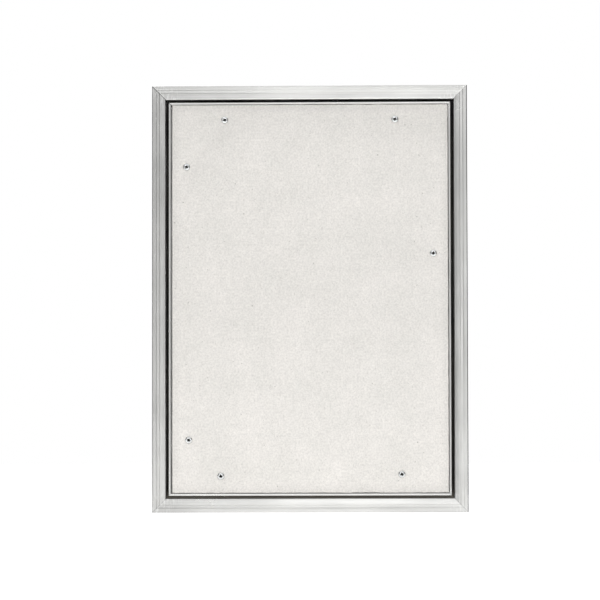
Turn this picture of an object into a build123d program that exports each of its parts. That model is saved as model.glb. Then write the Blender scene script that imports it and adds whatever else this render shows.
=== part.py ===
from build123d import *
from math import atan2, degrees
import os

os.makedirs("parts", exist_ok=True)

# Tileable access panel: an aluminium frame and a door on lever hinges that carries a board for tiles.
# Millimetres. X runs to the right, Z up, and the front faces -Y.
# The origin is the middle of the clear opening, in the plane of the front face.

# Frame
opening_w = 310.0
opening_h = 430.0
face_w = 15.0
face_t = 2.0
frame_depth = 52.0
jamb_t = 1.8
chamber_depth = 16.0
chamber_wall = 1.8
stop_reach = 8.0
stop_t = 1.8
return_w = 5.0
outer_round = 0.8
inner_round = 1.5
groove_w = 0.5
groove_depth = 0.35
groove_insets = (4.6, 8.0)

# Door
gap_hinge = 3.0
gap_latch = 3.0
gap_top = 3.0
gap_bottom = 3.0
lip_t = 2.0
lip_bevel = 0.3
board_t = 12.5
board_gap = 0.7
flange_t = 2.0
flange_w = 26.0

# Seal between the stop leg and the back of the door
seal_w = 7.3
seal_h = 2.5
seal_wall = 0.7
seal_round = 1.0
seal_bore_round = 0.35
seal_gap = 0.5
seal_set = 0.1

# Keys in the frame corners
key_leg = 38.0
key_clear = 0.3
key_screw_place = 27.0
key_screw_r = 1.75
key_screw_len = 9.0
key_head_r = 3.2
key_head_h = 1.6
drive_slot_w = 0.8
drive_slot_depth = 0.6
drive_slot_edge = 0.6

# Corner plates on the back of the door
plate_t = 1.5
plate_clear = 1.0
plate_w = 16.0
plate_leg = 34.0
plate_rivets = (22.0, 34.0)
rivet_r = 1.6
rivet_head_r = 3.0
rivet_head_h = 1.2
rivet_sink = 1.0

# Countersunk screws that hold the board, placed from the edges of the door
screw_r = 1.75
screw_head_r = 3.9
screw_head_h = 2.6
screw_sunk = 0.3
screw_tip = 2.0
screw_point_r = 0.45
screw_past = 3.0
recess_w = 1.0
recess_span = 4.4
recess_depth = 1.6
top_left_screw = (60.4, 18.7)
top_right_screw = (59.7, 18.5)
bottom_left_screw = (55.9, 21.0)
bottom_right_screw = (53.4, 22.7)
upper_hinge_screw = (19.1, 69.5)
lower_hinge_screw = (21.4, 59.9)

# Lever hinges: pivots as (distance from the door's hinge edge, distance behind the door's back)
lever_frame_pivot = (85.5, 31.5)
control_frame_pivot = (62.5, 5.5)
lever_door_pivot = (13.5, 17.5)
control_door_pivot = (14.0, 7.0)
pin_r = 2.0
pin_head_r = 3.5
pin_head_h = 1.2
lever_t = 3.0
lug_t = 3.0
cheek_t = 2.5
lever_gap = 0.4
head_room = 0.5
side_clear = 0.1
lever_end_r = 5.0
lever_root_r = 6.0
lever_window = (34.0, 3.0)
control_half_w = 4.0
control_eye_r = 5.0
control_root_r = 4.5
control_play = 1.25
cheek_root_r = 6.0
cheek_nose_r = 5.5
web_t = 2.5
web_half_h = 22.0
web_rivet_z = 16.0
web_rivet_set = 13.0
web_clear = 1.7
jamb_rivet_r = 2.0
jamb_rivet_head_r = 3.6
jamb_rivet_head_h = 1.4
jamb_rivet_tail_r = 3.0
jamb_rivet_tail_h = 2.2
base_t = 2.5
base_clear = 1.5
base_below = 26.0
base_screw_drop = 13.0
base_rivet_inset = 11.5
base_rivet_drops = (5.5, 21.0)
spacer_r = 3.5

# Push latch at the middle of the opposite jamb
latch_z = 0.0
latch_set = 18.8
latch_screw_rise = 48.5
strike_w = 14.0
strike_t = 1.5
strike_past = 9.0
magnet_gap = 0.3
magnet_r = 5.0
magnet_t = 3.0
cup_wall = 1.45
cup_base_t = 1.2
cup_clear = 0.05
stem_r = 4.0
housing_gap = 0.7
housing_w = 18.0
housing_h = 20.0
housing_l = 30.0
housing_wall = 2.0
plunger_travel = 12.0
collar_clear = 0.7
collar_t = 2.0
collar_room = 0.5
stem_tail = 6.5
track_w = 1.8
track_depth = 1.3
track_room = 1.5
cam_pin_r = 0.7
cam_pin_place = 4.5
spring_wire = 0.9
spring_turns = 5.0
spring_end_room = 0.1
cap_t = 2.0
shelf_t = 2.0
shelf_half_h = 22.0
shelf_rivet_z = 16.5
shelf_rivet_set = 13.0
shelf_screw_places = (5.0, 16.0)
shelf_screw_r = 1.3
shelf_screw_len = 3.4
shelf_head_r = 2.4
shelf_head_h = 1.2

# Holes for the wall fixings
fixing_r = 2.5
fixing_half_span = 90.0
fixing_set = 14.0

# Clearances of holes
run_clear = 0.05
seat_clear = 0.03
free_clear = 0.2
overcut = 1.0

# Places that follow from the sizes above
outer_w = opening_w + 2 * face_w
outer_h = opening_h + 2 * face_w
half_w = opening_w / 2
half_h = opening_h / 2
door_left = gap_hinge - half_w
door_right = half_w - gap_latch
door_bottom = gap_bottom - half_h
door_top = half_h - gap_top
door_w = door_right - door_left
door_h = door_top - door_bottom
door_mid = Pos((door_left + door_right) / 2, 0, (door_bottom + door_top) / 2)
door_back = board_t + flange_t
stop_front = door_back + seal_gap + seal_h
stop_back = stop_front + stop_t
screw_end = door_back + base_t + screw_past

# The seal or the stop leg, whichever reaches further, and what lies on the door clear of it
stop_edge = max(stop_reach, seal_set + seal_w)
plate_inset = stop_edge - min(gap_hinge, gap_latch, gap_top, gap_bottom) + plate_clear
base_inset = stop_edge - gap_hinge + base_clear
base_w = flange_w - base_inset

# Push latch, from the strike plate back to the end cap
latch_x = door_right - latch_set
strike_back = door_back + strike_t
magnet_front = strike_back + magnet_gap
cup_back = magnet_front + magnet_t + cup_base_t
cup_r = magnet_r + cup_clear + cup_wall
housing_front = cup_back + housing_gap
housing_back = housing_front + housing_l
bore_back = housing_front + housing_wall
collar_front = bore_back + plunger_travel + collar_room
collar_back = collar_front + collar_t
collar_r = housing_w / 2 - housing_wall - collar_clear
cam_pin_y = bore_back + cam_pin_place
shelf_top = latch_z - housing_h / 2
shelf_screw_ys = [bore_back + place for place in shelf_screw_places]

# Screws of the board: four near the corners, two that also hold the hinges, one for the strike plate
hinge_screws = {
    "upper": (door_left + upper_hinge_screw[0], door_top - upper_hinge_screw[1]),
    "lower": (door_left + lower_hinge_screw[0], door_bottom + lower_hinge_screw[1]),
}
strike_screw = (latch_x, latch_z + latch_screw_rise)
strike_rivet_spot = (latch_x, latch_z - latch_screw_rise)
board_screw_spots = [
    (door_left + top_left_screw[0], door_top - top_left_screw[1]),
    (door_right - top_right_screw[0], door_top - top_right_screw[1]),
    (door_left + bottom_left_screw[0], door_bottom + bottom_left_screw[1]),
    (door_right - bottom_right_screw[0], door_bottom + bottom_right_screw[1]),
    *hinge_screws.values(),
    strike_screw,
]

# Hinges: the level of each and its stack along Z, from the middle of the door lug outwards
hinge_levels = {name: z + base_screw_drop for name, (x, z) in hinge_screws.items()}
lug_face = lug_t / 2
lever_inner = lug_face + lever_gap
lever_outer = lever_inner + lever_t
cheek_inner = lever_outer + pin_head_h + head_room
cheek_outer = cheek_inner + cheek_t
lever_root, control_root, lever_end, control_end = [
    (door_left + along, door_back + behind)
    for along, behind in (lever_frame_pivot, control_frame_pivot, lever_door_pivot, control_door_pivot)
]

sides = {"top": 0, "right": 90, "bottom": 180, "left": -90}
corners = {
    "top_left": (-1, 1),
    "top_right": (1, 1),
    "bottom_left": (-1, -1),
    "bottom_right": (1, -1),
}
facing_front = Rot(90, 0, 0)
facing_back = Rot(-90, 0, 0)
facing_right = Rot(0, 90, 0)
facing_left = Rot(0, -90, 0)


def block(x0, x1, y0, y1, z0, z1):
    return Pos((x0 + x1) / 2, (y0 + y1) / 2, (z0 + z1) / 2) * Box(abs(x1 - x0), abs(y1 - y0), abs(z1 - z0))


def post(x, y, z0, z1, r):
    return Pos(x, y, (z0 + z1) / 2) * Cylinder(r, z1 - z0)


def bar_y(x, z, y0, y1, r):
    return Pos(x, (y0 + y1) / 2, z) * Rot(90, 0, 0) * Cylinder(r, y1 - y0)


def plate(outline, z0, z1):
    return Pos(0, 0, (z0 + z1) / 2) * extrude(outline, (z1 - z0) / 2, both=True)


def disc(place, r):
    return Pos(*place) * Circle(r)


def hull(*shapes):
    return make_hull([edge for shape in shapes for edge in shape.edges()])


# A length of profile for one side of a rectangle, cut at 45 degrees at both ends.
# The profile is drawn as (depth, minus the inset from the outer edge).
def mitred_bar(profile, width, height, turn):
    level = turn in (0, 180)
    length = width if level else height
    rise = (height if level else width) / 2
    reach = -profile.bounding_box().min.Y + overcut
    bar = Pos(0, 0, rise) * extrude(Plane.YZ * profile, length / 2, both=True)
    outline = Polygon(
        (-length / 2 - overcut, rise + overcut),
        (length / 2 + overcut, rise + overcut),
        (length / 2 - reach, rise - reach),
        (reach - length / 2, rise - reach),
        align=None,
    )
    wedge = extrude(Plane.XZ * outline, frame_depth + overcut, both=True)
    return Rot(0, turn, 0) * (bar & wedge)


def outline_of(points):
    return Polygon(*[(depth, -inset) for inset, depth in points], align=None)


# A block in a corner: insets are measured from the outer corner of a rectangle
def corner_block(half_x, half_z, signs, inset_x, inset_z, y0, y1):
    sx, sz = signs
    x0, x1 = [sx * (half_x - inset) for inset in inset_x]
    z0, z1 = [sz * (half_z - inset) for inset in inset_z]
    return block(x0, x1, y0, y1, z0, z1)


# Fasteners stand along +Z with the underside of the head at zero
def cross_recess(top):
    depth = recess_depth
    bar = Pos(0, 0, top - depth / 2) * Box(recess_span, recess_w, depth)
    return bar + Rot(0, 0, 90) * bar


def pan_screw(length, r, head_r, head_h):
    shank = post(0, 0, -length, 0, r)
    head = post(0, 0, 0, head_h, head_r)
    slot = Pos(0, 0, head_h) * Box(2 * (head_r - drive_slot_edge), drive_slot_w, 2 * drive_slot_depth)
    return shank + head - slot


def board_screw():
    length = screw_end - screw_sunk
    head = Pos(0, 0, -screw_head_h / 2) * Cone(screw_r, screw_head_r, screw_head_h)
    shank = post(0, 0, screw_tip - length, -screw_head_h, screw_r)
    tip = Pos(0, 0, screw_tip / 2 - length) * Cone(screw_point_r, screw_r, screw_tip)
    return head + shank + tip - cross_recess(0)


# A countersunk rivet: flush at the front, with a flat head behind the parts that it joins
def flush_rivet(x, z, front, back):
    cone = Cone(rivet_r, rivet_r + rivet_sink, rivet_sink)
    sink = Pos(x, front + rivet_sink / 2, z) * Rot(90, 0, 0) * cone
    return bar_y(x, z, front, back, rivet_r) + sink + bar_y(x, z, back, back + rivet_head_h, rivet_head_r)


def flush_rivet_hole(x, z, front, back):
    wide = rivet_r + rivet_sink + seat_clear
    sink = Pos(x, front + rivet_sink / 2, z) * Rot(90, 0, 0) * Cone(rivet_r + seat_clear, wide, rivet_sink)
    return bar_y(x, z, front - overcut, back + overcut, rivet_r + seat_clear) + sink


# A blind rivet through a bracket and the jamb, with its tail in the wall side of the frame
def jamb_rivet(grip):
    body = post(0, 0, -grip, 0, jamb_rivet_r)
    head = post(0, 0, 0, jamb_rivet_head_h, jamb_rivet_head_r)
    tail = post(0, 0, -grip - jamb_rivet_tail_h, -grip, jamb_rivet_tail_r)
    return body + head + tail


# Corners of the frame profile in the plane of its face, from the inner edge to the outer one
def face_corners(outline):
    return outline.vertices().group_by(Axis.X)[0].sort_by(Axis.Y)


# Frame profile: face with two fine grooves, hollow chamber behind it, jamb, stop leg and back return
def frame_profile():
    points = [(0, 0)]
    for inset in groove_insets:
        points += [(inset - groove_w / 2, 0), (inset, groove_depth), (inset + groove_w / 2, 0)]
    points += [
        (face_w, 0),
        (face_w, stop_front),
        (face_w + stop_reach, stop_front),
        (face_w + stop_reach, stop_back),
        (face_w, stop_back),
        (face_w, frame_depth),
        (face_w - return_w, frame_depth),
        (face_w - return_w, frame_depth - jamb_t),
        (face_w - jamb_t, frame_depth - jamb_t),
        (face_w - jamb_t, chamber_depth),
        (0, chamber_depth),
    ]
    chamber = [
        (chamber_wall, face_t),
        (face_w - jamb_t, face_t),
        (face_w - jamb_t, chamber_depth - chamber_wall),
        (chamber_wall, chamber_depth - chamber_wall),
    ]
    outline = outline_of(points)
    outline = fillet(face_corners(outline)[0], inner_round)
    outline = fillet(face_corners(outline)[-1], outer_round)
    return outline - outline_of(chamber)


def key_screw_spots(signs):
    sx, sz = signs
    middle = (chamber_wall + face_w - jamb_t) / 2
    return [
        (sx * (outer_w / 2 - key_screw_place), sz * (outer_h / 2 - middle)),
        (sx * (outer_w / 2 - middle), sz * (outer_h / 2 - key_screw_place)),
    ]


def web_rivet_spots():
    y = stop_back + web_rivet_set
    return [(y, z + step) for z in hinge_levels.values() for step in (-web_rivet_z, web_rivet_z)]


def shelf_rivet_spots():
    y = stop_back + shelf_rivet_set
    return [(y, latch_z + step) for step in (-shelf_rivet_z, shelf_rivet_z)]


def jamb_hole(side, y, z, r):
    x = half_w if side == "right" else -half_w
    return Pos(x, y, z) * Rot(0, 90, 0) * Cylinder(r, 2 * (max(jamb_t, web_t, shelf_t) + overcut))


def frame_member(side):
    member = mitred_bar(frame_profile(), outer_w, outer_h, sides[side])
    for signs in corners.values():
        for x, z in key_screw_spots(signs):
            member -= bar_y(x, z, chamber_depth - chamber_wall - overcut, chamber_depth + overcut,
                            key_screw_r + free_clear)
    if side in ("left", "right"):
        for z in (-fixing_half_span, fixing_half_span):
            member -= jamb_hole(side, stop_back + fixing_set, z, fixing_r)
    rivets = {"left": web_rivet_spots, "right": shelf_rivet_spots}
    if side in rivets:
        for y, z in rivets[side]():
            member -= jamb_hole(side, y, z, jamb_rivet_r + seat_clear)
    return member


# An L-shaped key lies in the chambers of two members and is screwed from behind
def corner_key(signs):
    inset = (chamber_wall + key_clear, face_w - jamb_t - key_clear)
    leg = (chamber_wall + key_clear, key_leg)
    y0 = face_t + key_clear
    y1 = chamber_depth - chamber_wall - key_clear
    key = corner_block(outer_w / 2, outer_h / 2, signs, leg, inset, y0, y1)
    key += corner_block(outer_w / 2, outer_h / 2, signs, inset, leg, y0, y1)
    for x, z in key_screw_spots(signs):
        key -= bar_y(x, z, chamber_depth - key_screw_len - overcut, y1 + overcut, key_screw_r + seat_clear)
    return key


def corner_key_screws():
    screw = facing_back * pan_screw(key_screw_len, key_screw_r, key_head_r, key_head_h)
    spots = [spot for signs in corners.values() for spot in key_screw_spots(signs)]
    return [Pos(x, chamber_depth, z) * screw for x, z in spots]


# A hollow rubber strip on the front of the stop leg
def seal_strip(side):
    middle = Pos(stop_front - seal_h / 2, -face_w - seal_set - seal_w / 2)
    tube = RectangleRounded(seal_h, seal_w, seal_round)
    tube -= RectangleRounded(seal_h - 2 * seal_wall, seal_w - 2 * seal_wall, seal_bore_round)
    return mitred_bar(middle * tube, outer_w, outer_h, sides[side])


def plate_rivet_spots(signs):
    sx, sz = signs
    middle = plate_inset + plate_w / 2
    insets = [(place, middle) for place in plate_rivets] + [(middle, place) for place in plate_rivets]
    return [(sx * (door_w / 2 - a), sz * (door_h / 2 - b)) for a, b in insets]


def base_rivet_spots(level):
    return [(door_left + base_rivet_inset, level - drop) for drop in base_rivet_drops]


# Door profile: a thin lip round the board and a flange behind it
def door_member(side):
    points = [
        (0, lip_bevel),
        (lip_bevel, 0),
        (lip_t, 0),
        (lip_t, board_t),
        (flange_w, board_t),
        (flange_w, door_back),
        (0, door_back),
    ]
    member = door_mid * mitred_bar(outline_of(points), door_w, door_h, sides[side])
    for x, z in board_screw_spots:
        member -= bar_y(x, z, board_t - overcut, door_back + overcut, screw_r + seat_clear)
    for signs in corners.values():
        for x, z in plate_rivet_spots(signs):
            member -= door_mid * flush_rivet_hole(x, z, board_t, door_back)
    for level in hinge_levels.values():
        for x, z in base_rivet_spots(level):
            member -= flush_rivet_hole(x, z, board_t, door_back)
    member -= flush_rivet_hole(*strike_rivet_spot, board_t, door_back)
    return member


def tile_board():
    edge = lip_t + board_gap
    board = block(door_left + edge, door_right - edge, 0, board_t, door_bottom + edge, door_top - edge)
    for x, z in board_screw_spots:
        cone = Cone(screw_r + run_clear, screw_head_r + run_clear, screw_head_h)
        board -= Pos(x, screw_sunk + screw_head_h / 2, z) * Rot(90, 0, 0) * cone
        board -= bar_y(x, z, -overcut, screw_sunk, screw_head_r + run_clear)
        board -= bar_y(x, z, 0, board_t + overcut, screw_r + run_clear)
    return board


def board_screws():
    return [Pos(x, screw_sunk, z) * facing_front * board_screw() for x, z in board_screw_spots]


def door_corner_plate(signs):
    inset = (plate_inset, plate_inset + plate_w)
    leg = (plate_inset, plate_inset + plate_leg)
    y1 = door_back + plate_t
    part = corner_block(door_w / 2, door_h / 2, signs, leg, inset, door_back, y1)
    part += corner_block(door_w / 2, door_h / 2, signs, inset, leg, door_back, y1)
    for x, z in plate_rivet_spots(signs):
        part -= bar_y(x, z, door_back - overcut, y1 + overcut, rivet_r + seat_clear)
    return door_mid * part


def door_corner_rivets():
    spots = [spot for signs in corners.values() for spot in plate_rivet_spots(signs)]
    return [door_mid * flush_rivet(x, z, board_t, door_back + plate_t) for x, z in spots]


# A channel bracket: a web riveted to the jamb and two cheeks that carry the fixed pins
def hinge_frame_bracket(level):
    y0 = stop_back + web_clear
    web_mid = Pos(-half_w + web_t / 2, (y0 + frame_depth) / 2)
    web = web_mid * Rectangle(web_t, frame_depth - y0)
    outline = hull(web, disc(lever_root, cheek_root_r), disc(control_root, cheek_nose_r))
    bracket = block(-half_w, web_t - half_w, y0, frame_depth, level - web_half_h, level + web_half_h)
    bracket += plate(outline, level - cheek_outer, level - cheek_inner)
    bracket += plate(outline, level + cheek_inner, level + cheek_outer)
    reach = cheek_outer + overcut
    bracket -= post(*lever_root, level - reach, level + reach, pin_r + seat_clear)
    bracket -= post(*control_root, level, level + reach, pin_r + seat_clear)
    for y, z in web_rivet_spots():
        bracket -= jamb_hole("left", y, z, jamb_rivet_r + seat_clear)
    return bracket


def hinge_web_rivets():
    grip = web_t + jamb_t
    return [Pos(web_t - half_w, y, z) * facing_right * jamb_rivet(grip) for y, z in web_rivet_spots()]


def frame_pins(level):
    top = level + cheek_outer
    low = level - cheek_outer
    long_pin = post(*lever_root, low - pin_head_h, top + pin_head_h, pin_r)
    long_pin += post(*lever_root, low - pin_head_h, low, pin_head_r)
    long_pin += post(*lever_root, top, top + pin_head_h, pin_head_r)
    inner = level + lever_inner - side_clear
    short_pin = post(*control_root, inner - pin_head_h, top + pin_head_h, pin_r)
    short_pin += post(*control_root, inner - pin_head_h, inner, pin_head_r)
    short_pin += post(*control_root, top, top + pin_head_h, pin_head_r)
    return [long_pin, short_pin]


def spacer(place, z0, z1):
    tube = post(*place, z0 + side_clear, z1 - side_clear, spacer_r)
    return tube - post(*place, z0, z1, pin_r + run_clear)


def pivot_spacers(level):
    return [
        spacer(lever_root, level - cheek_inner, level - lever_outer),
        spacer(lever_root, level - lever_inner, level + cheek_inner),
        spacer(control_root, level + lever_outer, level + cheek_inner),
    ]


def main_lever(level):
    z0 = level - lever_outer
    z1 = level - lever_inner
    lever = plate(hull(disc(lever_root, lever_root_r), disc(lever_end, lever_end_r)), z0, z1)
    for place in (lever_root, lever_end):
        lever -= post(*place, z0 - overcut, z1 + overcut, pin_r + run_clear)
    dx = lever_end[0] - lever_root[0]
    dy = lever_end[1] - lever_root[1]
    middle = Pos((lever_root[0] + lever_end[0]) / 2, (lever_root[1] + lever_end[1]) / 2)
    window = middle * Rot(0, 0, degrees(atan2(dy, dx))) * SlotOverall(*lever_window)
    return lever - plate(window, z0 - overcut, z1 + overcut)


# The eye at the door end is larger than its pin, which gives the linkage its play
def control_lever(level):
    z0 = level + lever_inner
    z1 = level + lever_outer
    arm = hull(disc(control_root, control_half_w), disc(control_end, control_half_w))
    arm = arm + disc(control_end, control_eye_r) + disc(control_root, control_root_r)
    lever = plate(arm, z0, z1)
    lever -= post(*control_root, z0 - overcut, z1 + overcut, pin_r + run_clear)
    return lever - post(*control_end, z0 - overcut, z1 + overcut, pin_r + control_play)


# An angle bracket: a base on the door's flange and a lug that carries the two moving pins
def hinge_door_bracket(level, screw_spot):
    x0 = door_left + base_inset
    y1 = door_back + base_t
    low = level - base_below
    bracket = block(x0, x0 + base_w, door_back, y1, low, level + lug_face)
    foot = Pos(x0 + base_w / 2, door_back + base_t / 2) * Rectangle(base_w, base_t)
    outline = hull(foot, disc(lever_end, lever_end_r), disc(control_end, control_eye_r))
    bracket += plate(outline, level - lug_face, level + lug_face)
    for place in (lever_end, control_end):
        bracket -= post(*place, level - lug_face - overcut, level + lug_face + overcut, pin_r + seat_clear)
    bracket -= bar_y(*screw_spot, door_back - overcut, y1 + overcut, screw_r + seat_clear)
    for x, z in base_rivet_spots(level):
        bracket -= bar_y(x, z, door_back - overcut, y1 + overcut, rivet_r + seat_clear)
    return bracket


def hinge_base_rivets():
    spots = [spot for level in hinge_levels.values() for spot in base_rivet_spots(level)]
    return [flush_rivet(x, z, board_t, door_back + base_t) for x, z in spots]


def door_pins(level):
    low = level - lever_outer - side_clear
    lever_pin = post(*lever_end, low, level + lug_face, pin_r)
    lever_pin += post(*lever_end, low - pin_head_h, low, pin_head_r)
    high = level + lever_outer + side_clear
    control_pin = post(*control_end, level - lug_face, high, pin_r)
    control_pin += post(*control_end, high, high + pin_head_h, pin_head_r + control_play)
    return [lever_pin, control_pin]


def strike_plate():
    x0 = latch_x - strike_w / 2
    half = latch_screw_rise + strike_past
    part = block(x0, x0 + strike_w, door_back, strike_back, latch_z - half, latch_z + half)
    y0 = door_back - overcut
    y1 = strike_back + overcut
    part -= bar_y(*strike_screw, y0, y1, screw_r + seat_clear)
    return part - bar_y(*strike_rivet_spot, y0, y1, rivet_r + seat_clear)


def strike_rivet():
    return flush_rivet(*strike_rivet_spot, board_t, strike_back)


def latch_magnet():
    return bar_y(latch_x, latch_z, magnet_front, magnet_front + magnet_t, magnet_r)


# The plunger: a cup for the magnet, a stem with a cam track, and a collar that the spring pushes on
def latch_plunger():
    part = bar_y(latch_x, latch_z, magnet_front, cup_back, cup_r)
    part -= bar_y(latch_x, latch_z, magnet_front - overcut, magnet_front + magnet_t, magnet_r + cup_clear)
    part += bar_y(latch_x, latch_z, cup_back, collar_back + stem_tail, stem_r)
    part += bar_y(latch_x, latch_z, collar_front, collar_back, collar_r)
    y0 = cam_pin_y - track_room
    y1 = cam_pin_y + plunger_travel + track_room
    x0 = latch_x - track_w / 2
    floor = latch_z + stem_r - track_depth
    return part - block(x0, x0 + track_w, y0, y1, floor, latch_z + housing_h / 2)


def latch_cam_pin():
    low = latch_z + stem_r - track_depth + side_clear
    return post(latch_x, cam_pin_y, low, latch_z + housing_h / 2, cam_pin_r)


def latch_housing():
    x0 = latch_x - housing_w / 2
    x1 = x0 + housing_w
    z0 = latch_z - housing_h / 2
    z1 = z0 + housing_h
    wall = housing_wall
    body = block(x0, x1, housing_front, housing_back, z0, z1)
    body -= block(x0 + wall, x1 - wall, bore_back, housing_back + overcut, z0 + wall, z1 - wall)
    body -= bar_y(latch_x, latch_z, housing_front - overcut, bore_back + overcut, stem_r + run_clear)
    body -= post(latch_x, cam_pin_y, latch_z, z1 + overcut, cam_pin_r + seat_clear)
    for y in shelf_screw_ys:
        body -= post(latch_x, y, z0 - overcut, z0 + wall + overcut, shelf_screw_r + seat_clear)
    return body


def latch_end_cap():
    inner_w = housing_w - 2 * (housing_wall + run_clear)
    inner_h = housing_h - 2 * (housing_wall + run_clear)
    mid_y = housing_back - cap_t / 2
    return Pos(latch_x, mid_y, latch_z) * Box(inner_w, cap_t, inner_h)


# The spring stands between the collar and the end cap, round the tail of the stem
def latch_spring():
    y0 = collar_back + spring_end_room + spring_wire / 2
    y1 = housing_back - cap_t - spring_end_room - spring_wire / 2
    radius = (stem_r + collar_r) / 2
    path = Helix((y1 - y0) / spring_turns, y1 - y0, radius)
    coil = sweep(Plane(path @ 0, z_dir=path % 0) * Circle(spring_wire / 2), path)
    return Pos(latch_x, y0, latch_z) * Rot(-90, 0, 0) * coil


# An angle bracket: a flange riveted to the jamb and a shelf under the housing
def latch_bracket():
    y0 = stop_back + web_clear
    z0 = latch_z - shelf_half_h
    z1 = latch_z + shelf_half_h
    flange = block(half_w - shelf_t, half_w, y0, housing_back, z0, z1)
    shelf = block(latch_x - housing_w / 2, half_w, y0, housing_back, shelf_top - shelf_t, shelf_top)
    part = flange + shelf
    for y, z in shelf_rivet_spots():
        part -= jamb_hole("right", y, z, jamb_rivet_r + seat_clear)
    low = shelf_top - shelf_t - overcut
    for y in shelf_screw_ys:
        part -= post(latch_x, y, low, shelf_top + overcut, shelf_screw_r + run_clear)
    return part


def latch_bracket_rivets():
    grip = shelf_t + jamb_t
    return [Pos(half_w - shelf_t, y, z) * facing_left * jamb_rivet(grip) for y, z in shelf_rivet_spots()]


def latch_housing_screws():
    screw = Rot(180, 0, 0) * pan_screw(shelf_screw_len, shelf_screw_r, shelf_head_r, shelf_head_h)
    return [Pos(latch_x, y, shelf_top - shelf_t) * screw for y in shelf_screw_ys]


parts = {}
for side in sides:
    parts[f"frame_{side}"] = frame_member(side)
    parts[f"seal_{side}"] = seal_strip(side)
    parts[f"door_profile_{side}"] = door_member(side)
for corner, signs in corners.items():
    parts[f"corner_key_{corner}"] = corner_key(signs)
    parts[f"door_corner_plate_{corner}"] = door_corner_plate(signs)
parts["corner_key_screws"] = corner_key_screws()
parts["tile_board"] = tile_board()
parts["board_screws"] = board_screws()
parts["door_corner_rivets"] = door_corner_rivets()

for name, level in hinge_levels.items():
    parts[f"hinge_frame_bracket_{name}"] = hinge_frame_bracket(level)
    parts[f"hinge_frame_pins_{name}"] = frame_pins(level)
    parts[f"hinge_spacers_{name}"] = pivot_spacers(level)
    parts[f"main_lever_{name}"] = main_lever(level)
    parts[f"control_lever_{name}"] = control_lever(level)
    parts[f"hinge_door_bracket_{name}"] = hinge_door_bracket(level, hinge_screws[name])
    parts[f"hinge_door_pins_{name}"] = door_pins(level)
parts["hinge_web_rivets"] = hinge_web_rivets()
parts["hinge_base_rivets"] = hinge_base_rivets()

parts["strike_plate"] = strike_plate()
parts["strike_rivet"] = strike_rivet()
parts["latch_magnet"] = latch_magnet()
parts["latch_plunger"] = latch_plunger()
parts["latch_cam_pin"] = latch_cam_pin()
parts["latch_housing"] = latch_housing()
parts["latch_end_cap"] = latch_end_cap()
parts["latch_spring"] = latch_spring()
parts["latch_bracket"] = latch_bracket()
parts["latch_bracket_rivets"] = latch_bracket_rivets()
parts["latch_housing_screws"] = latch_housing_screws()

for name, shape in parts.items():
    if isinstance(shape, list):
        shape = Compound(children=[solid for part in shape for solid in part.solids()])
    export_step(shape, f"parts/{name}.step")
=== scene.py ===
import math
import random

import bmesh
import bpy
from mathutils import Matrix, Vector, noise


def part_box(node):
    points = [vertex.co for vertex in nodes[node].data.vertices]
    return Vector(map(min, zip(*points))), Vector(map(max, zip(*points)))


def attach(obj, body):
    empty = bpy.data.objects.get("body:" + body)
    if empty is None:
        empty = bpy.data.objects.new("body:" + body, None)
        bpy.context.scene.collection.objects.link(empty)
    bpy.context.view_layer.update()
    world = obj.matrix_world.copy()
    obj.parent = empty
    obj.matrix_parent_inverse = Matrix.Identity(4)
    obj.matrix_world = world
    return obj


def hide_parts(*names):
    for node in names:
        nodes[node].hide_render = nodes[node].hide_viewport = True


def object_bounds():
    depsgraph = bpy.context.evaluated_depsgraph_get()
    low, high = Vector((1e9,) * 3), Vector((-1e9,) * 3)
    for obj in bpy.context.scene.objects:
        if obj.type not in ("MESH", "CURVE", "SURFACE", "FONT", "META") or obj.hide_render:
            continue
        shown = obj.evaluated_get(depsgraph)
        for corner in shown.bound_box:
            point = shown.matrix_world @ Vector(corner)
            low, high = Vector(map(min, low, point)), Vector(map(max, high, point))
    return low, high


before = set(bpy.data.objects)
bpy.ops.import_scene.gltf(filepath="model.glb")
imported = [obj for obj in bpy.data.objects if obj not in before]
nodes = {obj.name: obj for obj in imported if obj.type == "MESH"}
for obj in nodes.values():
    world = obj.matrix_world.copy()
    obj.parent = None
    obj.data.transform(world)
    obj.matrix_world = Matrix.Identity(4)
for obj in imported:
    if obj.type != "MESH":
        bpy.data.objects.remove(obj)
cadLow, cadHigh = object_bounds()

# Tileable access panel: mitred aluminium frame, hinged door and bare gypsum fibreboard.
# Lengths are metres, and mm turns a workshop size into metres.
mm = 0.001
toBack = Matrix.Rotation(math.radians(-90), 4, "X")   # turns a part made along +Z to run along +Y


def fromHex(code):
    channels = [int(code[i:i + 2], 16) / 255 for i in (1, 3, 5)]
    linear = [c / 12.92 if c <= 0.04045 else ((c + 0.055) / 1.055) ** 2.4 for c in channels]
    return (*linear, 1.0)


def perMm(x, y, z):   # mapping scale at which one unit of pattern has this size in mm
    return (1 / (x * mm), 1 / (y * mm), 1 / (z * mm))


def addNode(tree, kind, sockets, **settings):
    node = tree.nodes.new("ShaderNode" + kind)
    for name, value in settings.items():
        setattr(node, name, value)
    for key, value in sockets.items():
        if isinstance(value, bpy.types.NodeSocket):
            tree.links.new(value, node.inputs[key])
        else:
            node.inputs[key].default_value = value
    return node


def newMaterial(name, uniform):
    material = bpy.data.materials.new(name)
    material.use_nodes = True
    for socket, value in uniform.items():
        material.node_tree.nodes["Principled BSDF"].inputs[socket].default_value = value
    return material


def plug(material, links):   # feeds the shader's own sockets
    shader = material.node_tree.nodes["Principled BSDF"]
    for socket, source in links.items():
        material.node_tree.links.new(source, shader.inputs[socket])
    return material


def newPiece(name, mesh, coat, body):
    piece = bpy.data.objects.new(name, mesh)
    bpy.context.collection.objects.link(piece)
    mesh.materials.clear()
    mesh.materials.append(coat)
    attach(piece, body)
    return piece


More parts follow.
